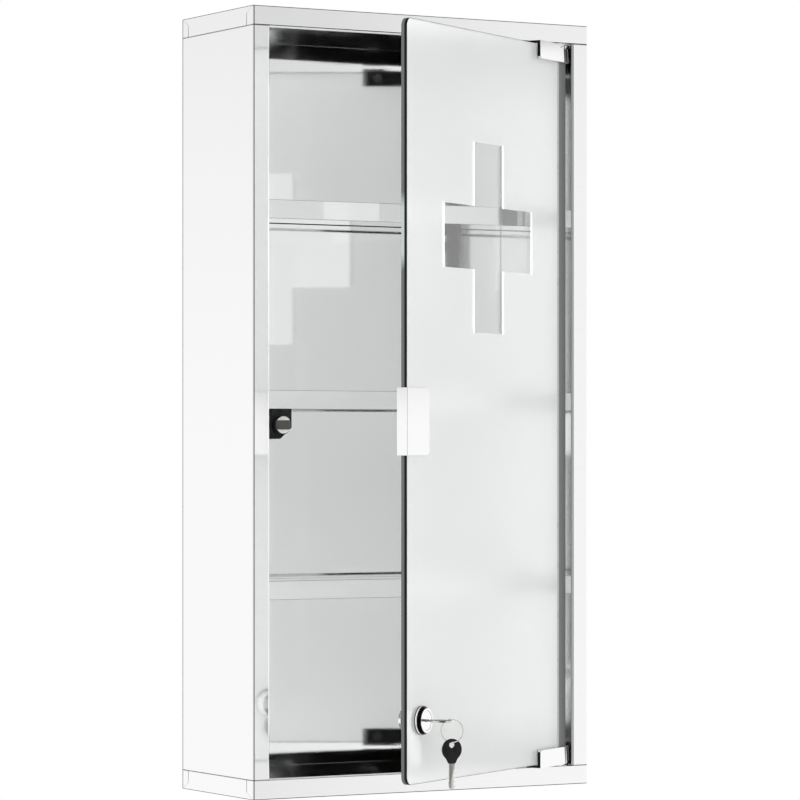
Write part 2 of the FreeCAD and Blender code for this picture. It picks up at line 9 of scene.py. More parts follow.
import bmesh
import bpy
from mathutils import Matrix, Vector


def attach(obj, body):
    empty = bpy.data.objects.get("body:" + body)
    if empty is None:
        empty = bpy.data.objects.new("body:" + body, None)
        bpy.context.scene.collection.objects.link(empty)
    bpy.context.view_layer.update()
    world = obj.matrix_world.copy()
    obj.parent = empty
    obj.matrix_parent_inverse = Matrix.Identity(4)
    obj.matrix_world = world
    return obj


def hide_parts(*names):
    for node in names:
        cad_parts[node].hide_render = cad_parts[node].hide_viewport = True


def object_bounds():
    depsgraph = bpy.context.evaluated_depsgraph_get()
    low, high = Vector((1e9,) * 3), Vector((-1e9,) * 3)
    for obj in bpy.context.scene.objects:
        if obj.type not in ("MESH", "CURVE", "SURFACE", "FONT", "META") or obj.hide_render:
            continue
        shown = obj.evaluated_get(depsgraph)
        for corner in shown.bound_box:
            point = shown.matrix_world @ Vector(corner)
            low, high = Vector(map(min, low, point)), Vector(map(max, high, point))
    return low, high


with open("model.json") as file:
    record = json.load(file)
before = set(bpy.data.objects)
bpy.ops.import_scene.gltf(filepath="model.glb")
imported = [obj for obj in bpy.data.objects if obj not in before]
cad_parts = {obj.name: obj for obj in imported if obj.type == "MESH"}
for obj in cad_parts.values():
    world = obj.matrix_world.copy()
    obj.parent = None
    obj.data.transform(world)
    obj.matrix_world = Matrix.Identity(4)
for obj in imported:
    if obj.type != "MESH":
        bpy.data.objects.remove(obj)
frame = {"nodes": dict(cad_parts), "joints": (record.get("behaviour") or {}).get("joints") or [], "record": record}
bare_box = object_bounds()
record = frame["record"]
body_of = {node: body for body, nodes in record["behaviour"]["bodies"].items() for node in nodes}
slot_of = {part["node"]: part["material_slot"] for part in record["subparts"]}
joint_of = {joint["name"]: joint for joint in frame["joints"]}

# %% [markdown]
# The photograph was taken from the front left, level, with a long lens: upright edges stay upright in it.
# A level camera with a vertical shift keeps them so, where a tilted camera would make them lean.
# The place, the lens and the shifts were worked out from the corners of the box and of the door.

# %% Camera
CAMERA_PLACE = (-1.5186, -2.6971, -0.0352)
CAMERA_TURN = math.radians(-29.878)
CAMERA_LENS = 174.16
CAMERA_SHIFT = (0.02125, 0.06153)
SENSOR_WIDTH = 36.0

camera_data = bpy.data.cameras.new("camera")
camera_data.lens = CAMERA_LENS
camera_data.sensor_width = SENSOR_WIDTH
camera_data.shift_x, camera_data.shift_y = CAMERA_SHIFT
camera = bpy.data.objects.new("camera", camera_data)
camera.location = CAMERA_PLACE
camera.rotation_euler = (math.radians(90), 0, CAMERA_TURN)
bpy.context.scene.collection.objects.link(camera)
bpy.context.scene.camera = camera
bpy.context.scene.view_settings.view_transform = "Standard"
print("camera at", [round(value, 3) for value in camera.location])

# %% [markdown]
# Polished steel has no colour of its own to speak of: it shows the room. The room here is a white studio with a
# dim ceiling and a dim floor, a dark patch behind the camera and a grey screen to the front right. Upright faces
# show the white walls, and a face that tilts up or down shows more of the dim parts. The ceiling and the floor stop
# at a mid-grey, so that the steel still looks like steel from high above.
# The dark parts count only for what the camera sees in a mirror, so they take no light from the matt pieces.
# What is mirrored through the glass sees a grey window on either side instead: the right one sets the shade of the
# back wall behind the door, the left one that of the box seen through the cross.
# Black cards on stands could do the same; in the world they stay put from every side and need no extra objects.

# %% Studio world
CAMERA_SIDE = {"direction": (-0.29, -0.95, 0.16), "core": 16, "edge": 54, "level": 1.0}
GREY_SCREEN = {"direction": (0.42, -0.90, 0.12), "core": 2.5, "edge": 8, "level": 0.28}
RIGHT_WINDOW = {"direction": (0.50, -0.866, 0.03), "core": 5, "edge": 12, "level": 0.52}
LEFT_WINDOW = {"direction": (-0.50, -0.866, 0.03), "core": 5, "edge": 12, "level": 0.70}
CEILING = (-0.02, 0.62)
GROUND = (-0.35, -0.70)
ROOM_DARKEST = 0.75
DARK_LEVEL = 0.04
SOFT_LIGHT = 1.2
GLASS_LIGHT = 1.75
HALF_BOUNCE = 0.5


def node_maker(tree):
    """Returns a function that adds a node to a tree, sets its fields and links its inputs."""
    def add(kind, inputs=None, **fields):
        node = tree.nodes.new(kind)
        for name, value in fields.items():
            setattr(node, name, value)
        for name, value in (inputs or {}).items():
            socket = node.inputs[name]
            if isinstance(value, bpy.types.NodeSocket):
                tree.links.new(value, socket)
            else:
                socket.default_value = value
        return node
    return add


def math_maker(add):
    """Returns a function that does one sum with two values in a tree."""
    def sums(operation, first, second):
        return add("ShaderNodeMath", {0: first, 1: second}, operation=operation).outputs["Value"]
    return sums


def patch(add, ray, direction, core, edge, level):
    """A soft round patch in the world: the level within the core angle, nothing beyond the edge angle."""
    facing = add("ShaderNodeVectorMath", {0: ray, 1: Vector(direction).normalized()}, operation="DOT_PRODUCT")
    limits = {"From Min": math.cos(math.radians(edge)), "From Max": math.cos(math.radians(core)), "To Max": level}
    return add("ShaderNodeMapRange", {"Value": facing.outputs["Value"], **limits},
               interpolation_type="SMOOTHSTEP").outputs["Result"]


def between(add, value, low, high):
    """A value from nought to one, spread between two others."""
    return add("ShaderNodeMapRange", {"Value": value, "To Min": low, "To Max": high}).outputs["Result"]


def studio_world():
    """The white room with its dark parts."""
    world = bpy.data.worlds.new("studio")
    world.use_nodes = True
    world.node_tree.nodes.clear()
    add = node_maker(world.node_tree)
    sums = math_maker(add)
    ray = add("ShaderNodeTexCoord").outputs["Generated"]
    height = add("ShaderNodeSeparateXYZ", {"Vector": ray}).outputs["Z"]
    dark = sums("MAXIMUM", patch(add, ray, **CAMERA_SIDE), patch(add, ray, **GREY_SCREEN))
    for pale_height, dark_height in (CEILING, GROUND):
        shade = add("ShaderNodeMapRange", {"Value": height, "From Min": pale_height, "From Max": dark_height},
                    interpolation_type="SMOOTHSTEP").outputs["Result"]
        dark = sums("MAXIMUM", dark, sums("MINIMUM", shade, ROOM_DARKEST))
    path = add("ShaderNodeLightPath").outputs
    unglazed = sums("LESS_THAN", path["Transmission Depth"], HALF_BOUNCE)
    unscattered = sums("LESS_THAN", path["Diffuse Depth"], HALF_BOUNCE)
    mirrored = sums("GREATER_THAN", path["Glossy Depth"], HALF_BOUNCE)
    windows = sums("MAXIMUM", patch(add, ray, **LEFT_WINDOW), patch(add, ray, **RIGHT_WINDOW))
    dark = between(add, unglazed, windows, dark)
    dark = sums("MULTIPLY", dark, sums("MULTIPLY", unscattered, mirrored))
    seen = sums("MAXIMUM", path["Is Camera Ray"], path["Is Glossy Ray"])
    strength = between(add, path["Is Transmission Ray"], between(add, seen, SOFT_LIGHT, 1.0), GLASS_LIGHT)
    background = add("ShaderNodeBackground", {"Color": between(add, dark, 1.0, DARK_LEVEL), "Strength": strength})
    add("ShaderNodeOutputWorld", {"Surface": background.outputs["Background"]})
    return world


bpy.context.scene.world = studio_world()
print("studio world with", len(bpy.context.scene.world.node_tree.nodes), "nodes")

# %% [markdown]
# The cabinet hangs on a wall, so the floor lies well below it. It is a plain pale sheet that reads as white
# to the camera, and still takes the soft shadow of the cabinet. The metal sees the world's own floor instead.

# %% Floor
FLOOR_DROP = 0.9
FLOOR_HALF = 4.0
FLOOR_COLOUR = (0.92, 0.92, 0.92, 1.0)
FLOOR_LIFT = 0.25

floor_z = bare_box[0][2] - FLOOR_DROP
floor_mesh = bpy.data.meshes.new("floor")
corners = [(-1, -1), (1, -1), (1, 1), (-1, 1)]
floor_mesh.from_pydata([(x * FLOOR_HALF, y * FLOOR_HALF, floor_z) for x, y in corners], [], [(0, 1, 2, 3)])
floor = bpy.data.objects.new("floor", floor_mesh)
bpy.context.scene.collection.objects.link(floor)
floor_material = bpy.data.materials.new("pale_floor")
floor_material.use_nodes = True
floor_material.node_tree.nodes.clear()
add = node_maker(floor_material.node_tree)
sums = math_maker(add)
path = add("ShaderNodeLightPath").outputs
seen = sums("MAXIMUM", path["Is Camera Ray"], path["Is Glossy Ray"])
lift = sums("MULTIPLY", sums("MAXIMUM", seen, path["Is Transmission Ray"]), FLOOR_LIFT)
matt = add("ShaderNodeBsdfDiffuse", {"Color": FLOOR_COLOUR}).outputs["BSDF"]
glow = add("ShaderNodeEmission", {"Strength": lift}).outputs["Emission"]
both = add("ShaderNodeAddShader", {0: matt, 1: glow}).outputs["Shader"]
add("ShaderNodeOutputMaterial", {"Surface": both})
floor_mesh.materials.append(floor_material)
floor.visible_glossy = False
print("floor at", round(floor_z, 3))

# %% [markdown]
# A broad soft lamp high on the left gives the matt pieces a light side and a shaded side.
# It is weak: the white room does most of the work, as it does in the photograph.

# %% Soft lamp
LAMP_PLACE = Vector((-1.6, -1.9, 1.7))
LAMP_SIDE = 1.6
LAMP_WATTS = 6.0

lamp_data = bpy.data.lights.new("soft_lamp", "AREA")
lamp_data.shape = "SQUARE"
lamp_data.size = LAMP_SIDE
lamp_data.energy = LAMP_WATTS
lamp = bpy.data.objects.new("soft_lamp", lamp_data)
lamp.location = LAMP_PLACE
lamp.rotation_euler = (-LAMP_PLACE).to_track_quat("-Z", "Y").to_euler()
bpy.context.scene.collection.objects.link(lamp)
print("lamp of", LAMP_WATTS, "watts")

# %% [markdown]
# Most finishes here share two things: a fine grain left by polishing, and faint clouds where hands have been.
# Each is built once as a node group with named inputs, and every material below places it with its own values.
# The grain is noise stretched along one direction, which is what a polishing belt leaves.

# %% Shared surface effects
STREAK_GAIN = 2.0
CLOUD_RANGE = (0.3, 0.7)


def new_group(name, inputs, outputs):
    """An empty shader group with named inputs and outputs. Returns it, its maker and the inputs' sockets."""
    group = bpy.data.node_groups.new(name, "ShaderNodeTree")
    for label, kind in inputs.items():
        group.interface.new_socket(label, in_out="INPUT", socket_type=kind)
    for label, kind in outputs.items():
        group.interface.new_socket(label, in_out="OUTPUT", socket_type=kind)
    add = node_maker(group)
    return group, add, add("NodeGroupInput").outputs


def grain_group():
    """Belt grain: thin streaks across a direction, as a value round one half and as a height."""
    inputs = {"Coordinates": "NodeSocketVector", "Stretch": "NodeSocketVector", "Fineness": "NodeSocketFloat"}
    outputs = {"Streaks": "NodeSocketFloat", "Height": "NodeSocketFloat"}
    group, add, given = new_group("belt_grain", inputs, outputs)
    stretched = add("ShaderNodeVectorMath", {0: given["Coordinates"], 1: given["Stretch"]}, operation="MULTIPLY")
    streaks = add("ShaderNodeTexNoise", {"Vector": stretched.outputs["Vector"], "Scale": given["Fineness"],
                                         "Detail": 3.0, "Roughness": 0.6}).outputs["Fac"]
    specks = add("ShaderNodeTexNoise", {"Vector": given["Coordinates"], "Scale": given["Fineness"],
                                        "Detail": 2.0, "Roughness": 0.7}).outputs["Fac"]
    mixed = add("ShaderNodeMath", {0: streaks, 1: specks}, operation="MULTIPLY").outputs["Value"]
    doubled = add("ShaderNodeMath", {0: mixed, 1: STREAK_GAIN}, operation="MULTIPLY").outputs["Value"]
    add("NodeGroupOutput", {"Streaks": doubled, "Height": streaks})
    return group


def cloud_group():
    """Faint clouds from handling: a slow value between two limits."""
    inputs = {"Coordinates": "NodeSocketVector", "Size": "NodeSocketFloat", "Low": "NodeSocketFloat",
              "High": "NodeSocketFloat"}
    group, add, given = new_group("handling_clouds", inputs, {"Value": "NodeSocketFloat"})
    noise = add("ShaderNodeTexNoise", {"Vector": given["Coordinates"], "Scale": given["Size"], "Detail": 4.0,
                                       "Roughness": 0.55}).outputs["Fac"]
    low, high = CLOUD_RANGE
    value = add("ShaderNodeMapRange", {"Value": noise, "From Min": low, "From Max": high, "To Min": given["Low"],
                                       "To Max": given["High"]}).outputs["Result"]
    add("NodeGroupOutput", {"Value": value})
    return group


belt_grain = grain_group()
handling_clouds = cloud_group()
print("groups", belt_grain.name, handling_clouds.name)

# %% [markdown]
# The box is mirror-polished sheet. A metal is one Principled shader with Metallic at one: its colour is what it
# reflects, its roughness how sharply. The grain moves the colour a little and the clouds the roughness, and a very
# low bump of the grain breaks up the reflections. The back panel is the same sheet with a fine speckle.
# Two dark metals are painted shade, for what looks like a thin black line: the dark reflections on the folds and cut
# edges of the sheet, and the shade at the ends of the chrome clips. The room could draw those lines too, but they
# would come and go with the view.

# %% Metal finishes
BUMP_DEPTH = 0.0001
METAL_CLOUDS = 22.0
MIX_FIRST, MIX_SECOND, MIX_RESULT = 6, 7, 2


def blank_material(name):
    """A material with an empty tree, and the function that adds nodes to it."""
    material = bpy.data.materials.new(name)
    material.use_nodes = True
    material.node_tree.nodes.clear()
    return material, node_maker(material.node_tree)


def close_material(add, settings):
    """Ends a material in one Principled shader with the given settings."""
    shader = add("ShaderNodeBsdfPrincipled", settings)
    add("ShaderNodeOutputMaterial", {"Surface": shader.outputs["BSDF"]})


def colour_mix(add, factor, first, second):
    """A colour between two others, each a plain colour or a socket."""
    ends = [end if isinstance(end, bpy.types.NodeSocket) else (*end, 1) for end in (first, second)]
    return add("ShaderNodeMix", {"Factor": factor, MIX_FIRST: ends[0], MIX_SECOND: ends[1]},
               data_type="RGBA").outputs[MIX_RESULT]


def clouded(add, place, size, limits):
    """The handling clouds, placed in a material with their own size and limits."""
    values = {"Coordinates": place, "Size": size, "Low": limits[0], "High": limits[1]}
    return add("ShaderNodeGroup", values, node_tree=handling_clouds).outputs["Value"]


def bumped(add, strength, height):
    """A very low bump from a height."""
    return add("ShaderNodeBump", {"Strength": strength, "Distance": BUMP_DEPTH, "Height": height}).outputs["Normal"]


def grey(level):
    """A colour with three equal parts."""
    return (level, level, level)


def metal(name, dark, light, rough, stretch, fineness, bump):
    """A polished or plated metal between two colours and two roughnesses, with a grain along one direction."""
    material, add = blank_material(name)
    place = add("ShaderNodeTexCoord").outputs["Object"]
    grain = add("ShaderNodeGroup", {"Coordinates": place, "Stretch": stretch, "Fineness": fineness},
                node_tree=belt_grain).outputs
    close_material(add, {"Base Color": colour_mix(add, grain["Streaks"], dark, light), "Metallic": 1.0,
                         "Roughness": clouded(add, place, METAL_CLOUDS, rough),
                         "Normal": bumped(add, bump, grain["Height"])})
    return material


UPRIGHT_GRAIN = (1.0, 1.0, 0.04)
LEVEL_GRAIN = (0.04, 1.0, 1.0)
SPECKLE = (1.0, 1.0, 0.5)
metal_recipes = {
    "polished_steel": ((0.91, 0.915, 0.915), grey(0.97), (0.05, 0.09), LEVEL_GRAIN, 1400.0, 0.02),
    "back_mirror": ((0.90, 0.91, 0.905), grey(1.0), (0.03, 0.05), SPECKLE, 1500.0, 0.05),
    "chrome": (grey(0.93), grey(0.97), (0.03, 0.06), LEVEL_GRAIN, 900.0, 0.01),
    # painted shade: the next two dark metals stand in for dark reflections at folds and cut edges, and for shade at
    # the clip ends and the collar's slope
    "painted_shade_edge_steel": (grey(0.02), grey(0.05), (0.18, 0.28), LEVEL_GRAIN, 1200.0, 0.02),
    "painted_shade_steel": (grey(0.006), grey(0.016), (0.2, 0.3), LEVEL_GRAIN, 1200.0, 0.02),
    "nickel_steel": ((0.68, 0.67, 0.64), (0.82, 0.81, 0.78), (0.12, 0.22), UPRIGHT_GRAIN, 1800.0, 0.05),
}
finishes = {name: metal(name, *recipe) for name, recipe in metal_recipes.items()}
print("metals", list(finishes))

# %% [markdown]
# The hinge plates, the catch and the key grips are black: powder coat or moulded plastic, with a fine pitted
# skin that spreads their highlights. The seals are rubber or clear vinyl, and the magnet is dull ferrite.
# All of these are one recipe: two close colours under a small noise, a roughness that wanders, and a fine bump.

# %% Plastic, rubber and coated finishes
MOULDED_CLOUDS = 90.0


def moulded(name, dark, light, rough, speck_scale, bump, **extra):
    """A matt or satin solid finish with a fine pitted skin."""
    material, add = blank_material(name)
    place = add("ShaderNodeTexCoord").outputs["Object"]
    specks = add("ShaderNodeTexNoise", {"Vector": place, "Scale": speck_scale, "Detail": 3.0}).outputs["Fac"]
    close_material(add, {"Base Color": colour_mix(add, specks, dark, light),
                         "Roughness": clouded(add, place, MOULDED_CLOUDS, rough),
                         "Normal": bumped(add, bump, specks), **extra})
    return material


moulded_recipes = {
    "black_plate": (grey(0.010), grey(0.022), (0.30, 0.42), 2600.0, 0.2),
    "black_plastic": ((0.004, 0.004, 0.005), (0.012, 0.012, 0.013), (0.22, 0.32), 3000.0, 0.12),
    "white_plastic": ((0.78, 0.78, 0.75), (0.84, 0.84, 0.81), (0.35, 0.45), 1800.0, 0.1),
    "grey_rubber": (grey(0.03), grey(0.06), (0.6, 0.75), 2400.0, 0.25),
    "magnet": ((0.045, 0.044, 0.04), (0.075, 0.073, 0.068), (0.45, 0.6), 2600.0, 0.3),
    "clear_liner": ((0.80, 0.82, 0.81), (0.88, 0.90, 0.89), (0.12, 0.2), 1500.0, 0.05),
}
moulded_extras = {
    "black_plate": {"Specular IOR Level": 0.3},
    "black_plastic": {"Specular IOR Level": 0.2},
    "clear_liner": {"Transmission Weight": 0.7, "IOR": 1.45},
}
for name, recipe in moulded_recipes.items():
    finishes[name] = moulded(name, *recipe, **moulded_extras.get(name, {}))
print("finishes", len(finishes))

# %% [markdown]
# The pane is float glass, frosted by acid on its front, with a clear window in the shape of a cross that was masked
# off. Frosting scatters light, so it looks pale from the front and lets soft shapes through: a Principled shader
# does that with only part of its weight in transmission. The clear window is the same glass with all of it. The
# ground edge has painted shade: its colour is dark, with painted light beside the window, where light gets in.
# Narrow strips beside the upright edges of the cross have painted light: their finish is paler than the frost and
# glows a little. The last millimetres at the hinge end, where the clips hold the glass, have painted shade: a dark
# margin with a grey fade before it.
# The door stands open, so a Mapping node turns the coordinates back to the door's own before the edge is drawn.

# %% Glass finishes
PIVOT = Vector(joint_of["door_swing"]["pos_m"])
LOCK_AXIS = Vector(joint_of["lock_turn"]["axis"])
DOOR_TURN = math.atan2(-LOCK_AXIS.x, LOCK_AXIS.y)
PANE_WIDTH = 0.261
PANE_THICKNESS = 0.0048
PIVOT_FROM_END = 0.008
CROSS_ARM = 0.0481
CROSS_MIDDLE = PIVOT_FROM_END - PANE_WIDTH / 2
CROSS_HEIGHT = 0.125
GLASS_IOR = 1.5
GLASS_CLOUDS = 9.0
GLASS_SPECKS = 2200.0
CLEAREST = (0.99, 1.0, 0.995)
# The edge colours are painted shade, and EDGE_PALE is painted light beside the window.
EDGE_BLACK, EDGE_GREY, EDGE_PALE = (0.004, 0.005, 0.005), (0.13, 0.135, 0.135), (0.45, 0.52, 0.48)
EDGE_TURN = (-0.12 * PANE_THICKNESS, 0.02 * PANE_THICKNESS)
EDGE_WINDOW = (0.35 * CROSS_ARM, 0.6 * CROSS_ARM)
EDGE_ROUGH = (0.3, 0.45)
EDGE_SPECKS = 900.0


def glass(name, tint, rough, weight):
    """A glass with faint specks and clouds, and a plain share of its weight in transmission."""
    material, add = blank_material(name)
    place = add("ShaderNodeTexCoord").outputs["Object"]
    specks = add("ShaderNodeTexNoise", {"Vector": place, "Scale": GLASS_SPECKS, "Detail": 2.0}).outputs["Fac"]
    close_material(add, {"Base Color": colour_mix(add, specks, tint, CLEAREST), "IOR": GLASS_IOR,
                         "Roughness": clouded(add, place, GLASS_CLOUDS, rough), "Transmission Weight": weight})
    return material


def painted_shade_glass_edge():
    """The ground rim of the pane with painted shade: grey to the rear, black to the front, and painted light beside
    the clear window.
    """
    material, add = blank_material("painted_shade_glass_edge")
    sums = math_maker(add)
    place = add("ShaderNodeTexCoord").outputs["Object"]
    to_pivot = add("ShaderNodeVectorMath", {0: place, 1: PIVOT}, operation="SUBTRACT").outputs["Vector"]
    turned = add("ShaderNodeMapping", {"Vector": to_pivot, "Rotation": (0, 0, -DOOR_TURN)}).outputs["Vector"]
    axes = add("ShaderNodeSeparateXYZ", {"Vector": turned}).outputs
    rearward = add("ShaderNodeMapRange", {"Value": axes["Y"], "From Min": EDGE_TURN[0],
                                          "From Max": EDGE_TURN[1]}).outputs["Result"]
    off_window = sums("SUBTRACT", axes["Z"], CROSS_HEIGHT)
    off_window = add("ShaderNodeMath", {0: off_window}, operation="ABSOLUTE").outputs["Value"]
    # painted light beside the clear window, where light gets in
    beside = add("ShaderNodeMapRange", {"Value": off_window, "From Min": EDGE_WINDOW[0], "From Max": EDGE_WINDOW[1],
                                        "To Min": 1.0, "To Max": 0.0}).outputs["Result"]
    specks = add("ShaderNodeTexNoise", {"Vector": place, "Scale": EDGE_SPECKS, "Detail": 3.0}).outputs["Fac"]
    dull = colour_mix(add, rearward, EDGE_BLACK, EDGE_GREY)
    close_material(add, {"Base Color": colour_mix(add, sums("MULTIPLY", beside, rearward), dull, EDGE_PALE),
                         "Roughness": between(add, specks, *EDGE_ROUGH), "IOR": GLASS_IOR,
                         "Specular IOR Level": 0.15})
    return material


finishes["frosted_glass"] = glass("frosted_glass", (0.975, 0.985, 0.98), (0.30, 0.36), 0.55)
finishes["clear_window"] = glass("clear_window", (0.985, 0.995, 0.99), (0.01, 0.03), 1.0)
# painted shade: the dark margin and the grey fade at the hinge end of the pane
margin_recipes = {
    "painted_shade_margin": ((0.14, 0.145, 0.145), (0.18, 0.185, 0.185), (0.15, 0.25), EDGE_SPECKS, 0.02),
    "painted_shade_fade": ((0.38, 0.39, 0.385), (0.44, 0.45, 0.445), (0.25, 0.35), EDGE_SPECKS, 0.02),
    # painted light: a paler frost for the strips beside the cross
    "painted_light_frost": ((0.93, 0.94, 0.935), (0.98, 0.99, 0.985), (0.3, 0.4), EDGE_SPECKS, 0.02),
}
# painted light: the strips glow a little, though no lamp is there
painted_glow = {"painted_light_frost": {"Emission Color": (*grey(1.0), 1.0), "Emission Strength": 0.25}}
for name, recipe in margin_recipes.items():
    finishes[name] = moulded(name, *recipe, **painted_glow.get(name, {}))
finishes["painted_shade_glass_edge"] = painted_shade_glass_edge()
print("door turned", round(math.degrees(DOOR_TURN), 2), "degrees")

# %% [markdown]
# Folded sheet has no knife edges: every bend has a small radius and every cut edge is eased. The frame's solids
# have sharp edges, so each visible piece is a copy of its solid with its edges rounded. These are the rules for how
# far: an outward edge between two broad faces is a fold and gets the bend's radius, less along a level fold, and
# any other sharp edge gets a smaller one. No edge takes more than a share of the shortest edge that meets it,
# because a rounding that runs past its neighbour turns the face inside out.

# %% Rules for rounding
BROAD = 0.004
THIN = 0.001
MOSTLY = 0.5
LEVEL_FOLD = 0.4
ROOM_SHARE = 0.28


def breadth(face):
    """The width of a long face, also where it is bent like the end of a folded sheet."""
    return 2 * face.calc_area() / face.calc_perimeter()


def is_fold(edge):
    """True where two broad faces meet in an outward edge."""
    length = edge.calc_length()
    broad = all(face.calc_area() / length > BROAD and breadth(face) > THIN for face in edge.link_faces)
    return edge.is_convex and broad


def runs_across(edge):
    """True along the width of the cabinet."""
    first, second = edge.verts
    return abs(first.co.x - second.co.x) > MOSTLY * edge.calc_length()


def fold_share(edge):
    """Upright folds have the full bend radius, level ones a tighter one."""
    first, second = edge.verts
    return 1.0 if abs(first.co.z - second.co.z) > MOSTLY * edge.calc_length() else LEVEL_FOLD


def room_beside(edge):
    """The length of an edge or of the shortest edge that meets it, whichever is less."""
    return min(other.calc_length() for vert in edge.verts for other in vert.link_edges)


print("level folds have", LEVEL_FOLD, "of the bend radius")

# %% [markdown]
# A Bevel modifier does the rounding by edge weight, and the result is kept as a plain mesh that stands in for the
# solid. The modifier can give the rounded faces a finish of their own. Only narrow ones keep it: a wide upright fold
# is polished like the faces beside it. Rounding the solid in the CAD model would do as well, but this way the solid
# stays light and the radius can be chosen.

# %% Rounded copies of the solids
SHARP_ANGLE = math.radians(40)
ROUND_ANGLE = math.radians(22)
FLAT_ANGLE = math.radians(0.5)
WELD = 1e-6
WIDE_FOLD = 0.0006


def plain_mesh(obj):
    """Applies what modifiers an object has and leaves a plain mesh."""
    depsgraph = bpy.context.evaluated_depsgraph_get()
    mesh = bpy.data.meshes.new_from_object(obj.evaluated_get(depsgraph))
    obj.modifiers.clear()
    obj.data = mesh


def edge_weights(shape, bend, edge_radius, chosen, front_room):
    """Sets how much of the bend radius each sharp edge of a shape gets."""
    weight = shape.edges.layers.float.new("bevel_weight_edge")
    for edge in shape.edges:
        sharp = len(edge.link_faces) == 2 and edge.is_convex and edge.calc_face_angle() > SHARP_ANGLE
        if sharp and (chosen is None or chosen(edge)):
            share = fold_share(edge) if is_fold(edge) else edge_radius / bend
            room_share = front_room if is_fold(edge) and runs_across(edge) else ROOM_SHARE
            edge[weight] = min(share, room_share * room_beside(edge) / bend)


def longest_side(mesh, face):
    """The length of a face's longest side."""
    corners = [mesh.vertices[index].co for index in face.vertices]
    return max((corner - corners[i - 1]).length for i, corner in enumerate(corners))


def eased(node, bend, edge_radius, finish=None, edge_finish=None, segments=3, smooth=False, chosen=None,
          front_room=ROOM_SHARE):
    """A copy of a node's solid with rounded edges, with a finish of their own if there is one."""
    shape = bmesh.new()
    shape.from_mesh(frame["nodes"][node].data)
    bmesh.ops.remove_doubles(shape, verts=shape.verts, dist=WELD)
    bmesh.ops.dissolve_limit(shape, angle_limit=FLAT_ANGLE, verts=shape.verts, edges=shape.edges)
    edge_weights(shape, bend, edge_radius, chosen, front_room)
    mesh = bpy.data.meshes.new(node + "_eased")
    mesh.materials.append(finishes[finish or slot_of[node]])
    shape.to_mesh(mesh)
    shape.free()
    piece = bpy.data.objects.new(node + "_eased", mesh)
    bpy.context.scene.collection.objects.link(piece)
    rounding = piece.modifiers.new("rounding", "BEVEL")
    rounding.limit_method = "WEIGHT"
    rounding.width = bend
    rounding.segments = segments
    rounding.miter_outer = "MITER_ARC"
    rounding.use_clamp_overlap = False
    if edge_finish:
        mesh.materials.append(finishes[edge_finish])
        rounding.material = 1
    plain_mesh(piece)
    for face in piece.data.polygons:
        if face.area > WIDE_FOLD * longest_side(piece.data, face):
            face.material_index = 0
    piece.data.shade_flat()
    if smooth:
        piece.data.shade_smooth()
        piece.data.set_sharp_from_angle(angle=ROUND_ANGLE)
    return piece


def stand_for(piece, node):
    """Puts a piece on the node's body and lets it stand for the node."""
    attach(piece, body_of[node])
    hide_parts(node)
    return piece


print("solids to stand for", len(slot_of))

# %% [markdown]
# The box is two folded trays, two side panels, a back and three hollow shelves. Their folds and cut edges get the
# dark edge finish, a painted shade that draws the thin dark reflections that polished sheet shows there. The mitres
# in the trays' corners are narrow slits; their edges stay sharp, since a rounding would be wider than the slit. The
# shelves' front folds are given more room than the rest, because their ends are hidden against the side panels.

# %% Folded sheets
SHEET_BEND = 0.0014
SHEET_EDGE = 0.0003
SLIT = 0.0005
SHELF_BEND = 0.0022
SHELF_ROOM = 1.2


def clear_of_slits(edge):
    """True where no narrow slit in the sheet is near."""
    return room_beside(edge) > SLIT


sheet_nodes = [node for node, slot in slot_of.items() if slot == "polished_steel"]
for node in sheet_nodes:
    finish = "back_mirror" if node == "back_panel" else None
    bend, front_room = (SHELF_BEND, SHELF_ROOM) if node.endswith("_shelf") else (SHEET_BEND, ROOM_SHARE)
    # painted shade: the rounded folds and cut edges take the dark edge finish
    piece = eased(node, bend, SHEET_EDGE, finish, "painted_shade_edge_steel", chosen=clear_of_slits, front_room=front_room)
    stand_for(piece, node)
    print(piece.name, len(piece.data.polygons), "faces")

# %% [markdown]
# The fittings on the door and the catch get the same treatment with finer radii and more steps, and with smooth
# shading, so that the round ones look round.

# %% Fittings
FITTING_EDGE = 0.0003
FINE_EDGE = 0.00015
FITTING_STEPS = 5
DOOR_ALONG = Vector((math.cos(DOOR_TURN), math.sin(DOOR_TURN), 0))
flat_fittings = ("upper_hinge_clip", "lower_hinge_clip", "upper_hinge_plate", "lower_hinge_plate", "handle_clip",
                 "catch_housing", "lock_cam", "key_blade", "spare_key_blade", "key_bow", "spare_key_bow")
fine_fittings = ("catch_housing", "key_bow", "spare_key_bow")
round_fittings = ("lock_body", "lock_nut", "lock_plug", "catch_pole_plates", "catch_magnet")
for node in flat_fittings + round_fittings:
    radius = FINE_EDGE if node in fine_fittings else FITTING_EDGE
    piece = stand_for(eased(node, radius, radius, segments=FITTING_STEPS, smooth=True), node)
    print(piece.name, len(piece.data.polygons), "faces")

# %% [markdown]
# Some faces of the fittings have another finish than the rest. The ends of the hinge clips and the slope of the
# lock's collar are painted black as shade and dark reflection, the grip of the key in the lock has a bare metal edge,
# and the whole cam is bright chrome.
# Separate pieces could do that, but a second material on the chosen faces of the same mesh leaves no seam.

# %% Second finishes on the fittings
LOCK_PLACE = Vector(joint_of["lock_turn"]["pos_m"])
SLOPE = (0.40, 0.56)
SLOPE_INNER = 0.0085
END_FACING = 0.9
GRIP_FACING = 0.5


def refinish(node, finish, chosen):
    """Gives the chosen faces of a fitting another finish."""
    mesh = bpy.data.objects[node + "_eased"].data
    mesh.materials.append(finishes[finish])
    faces = [face for face in mesh.polygons if chosen(face)]
    for face in faces:
        face.material_index = 1
    print(node, len(faces), "faces in", finish)


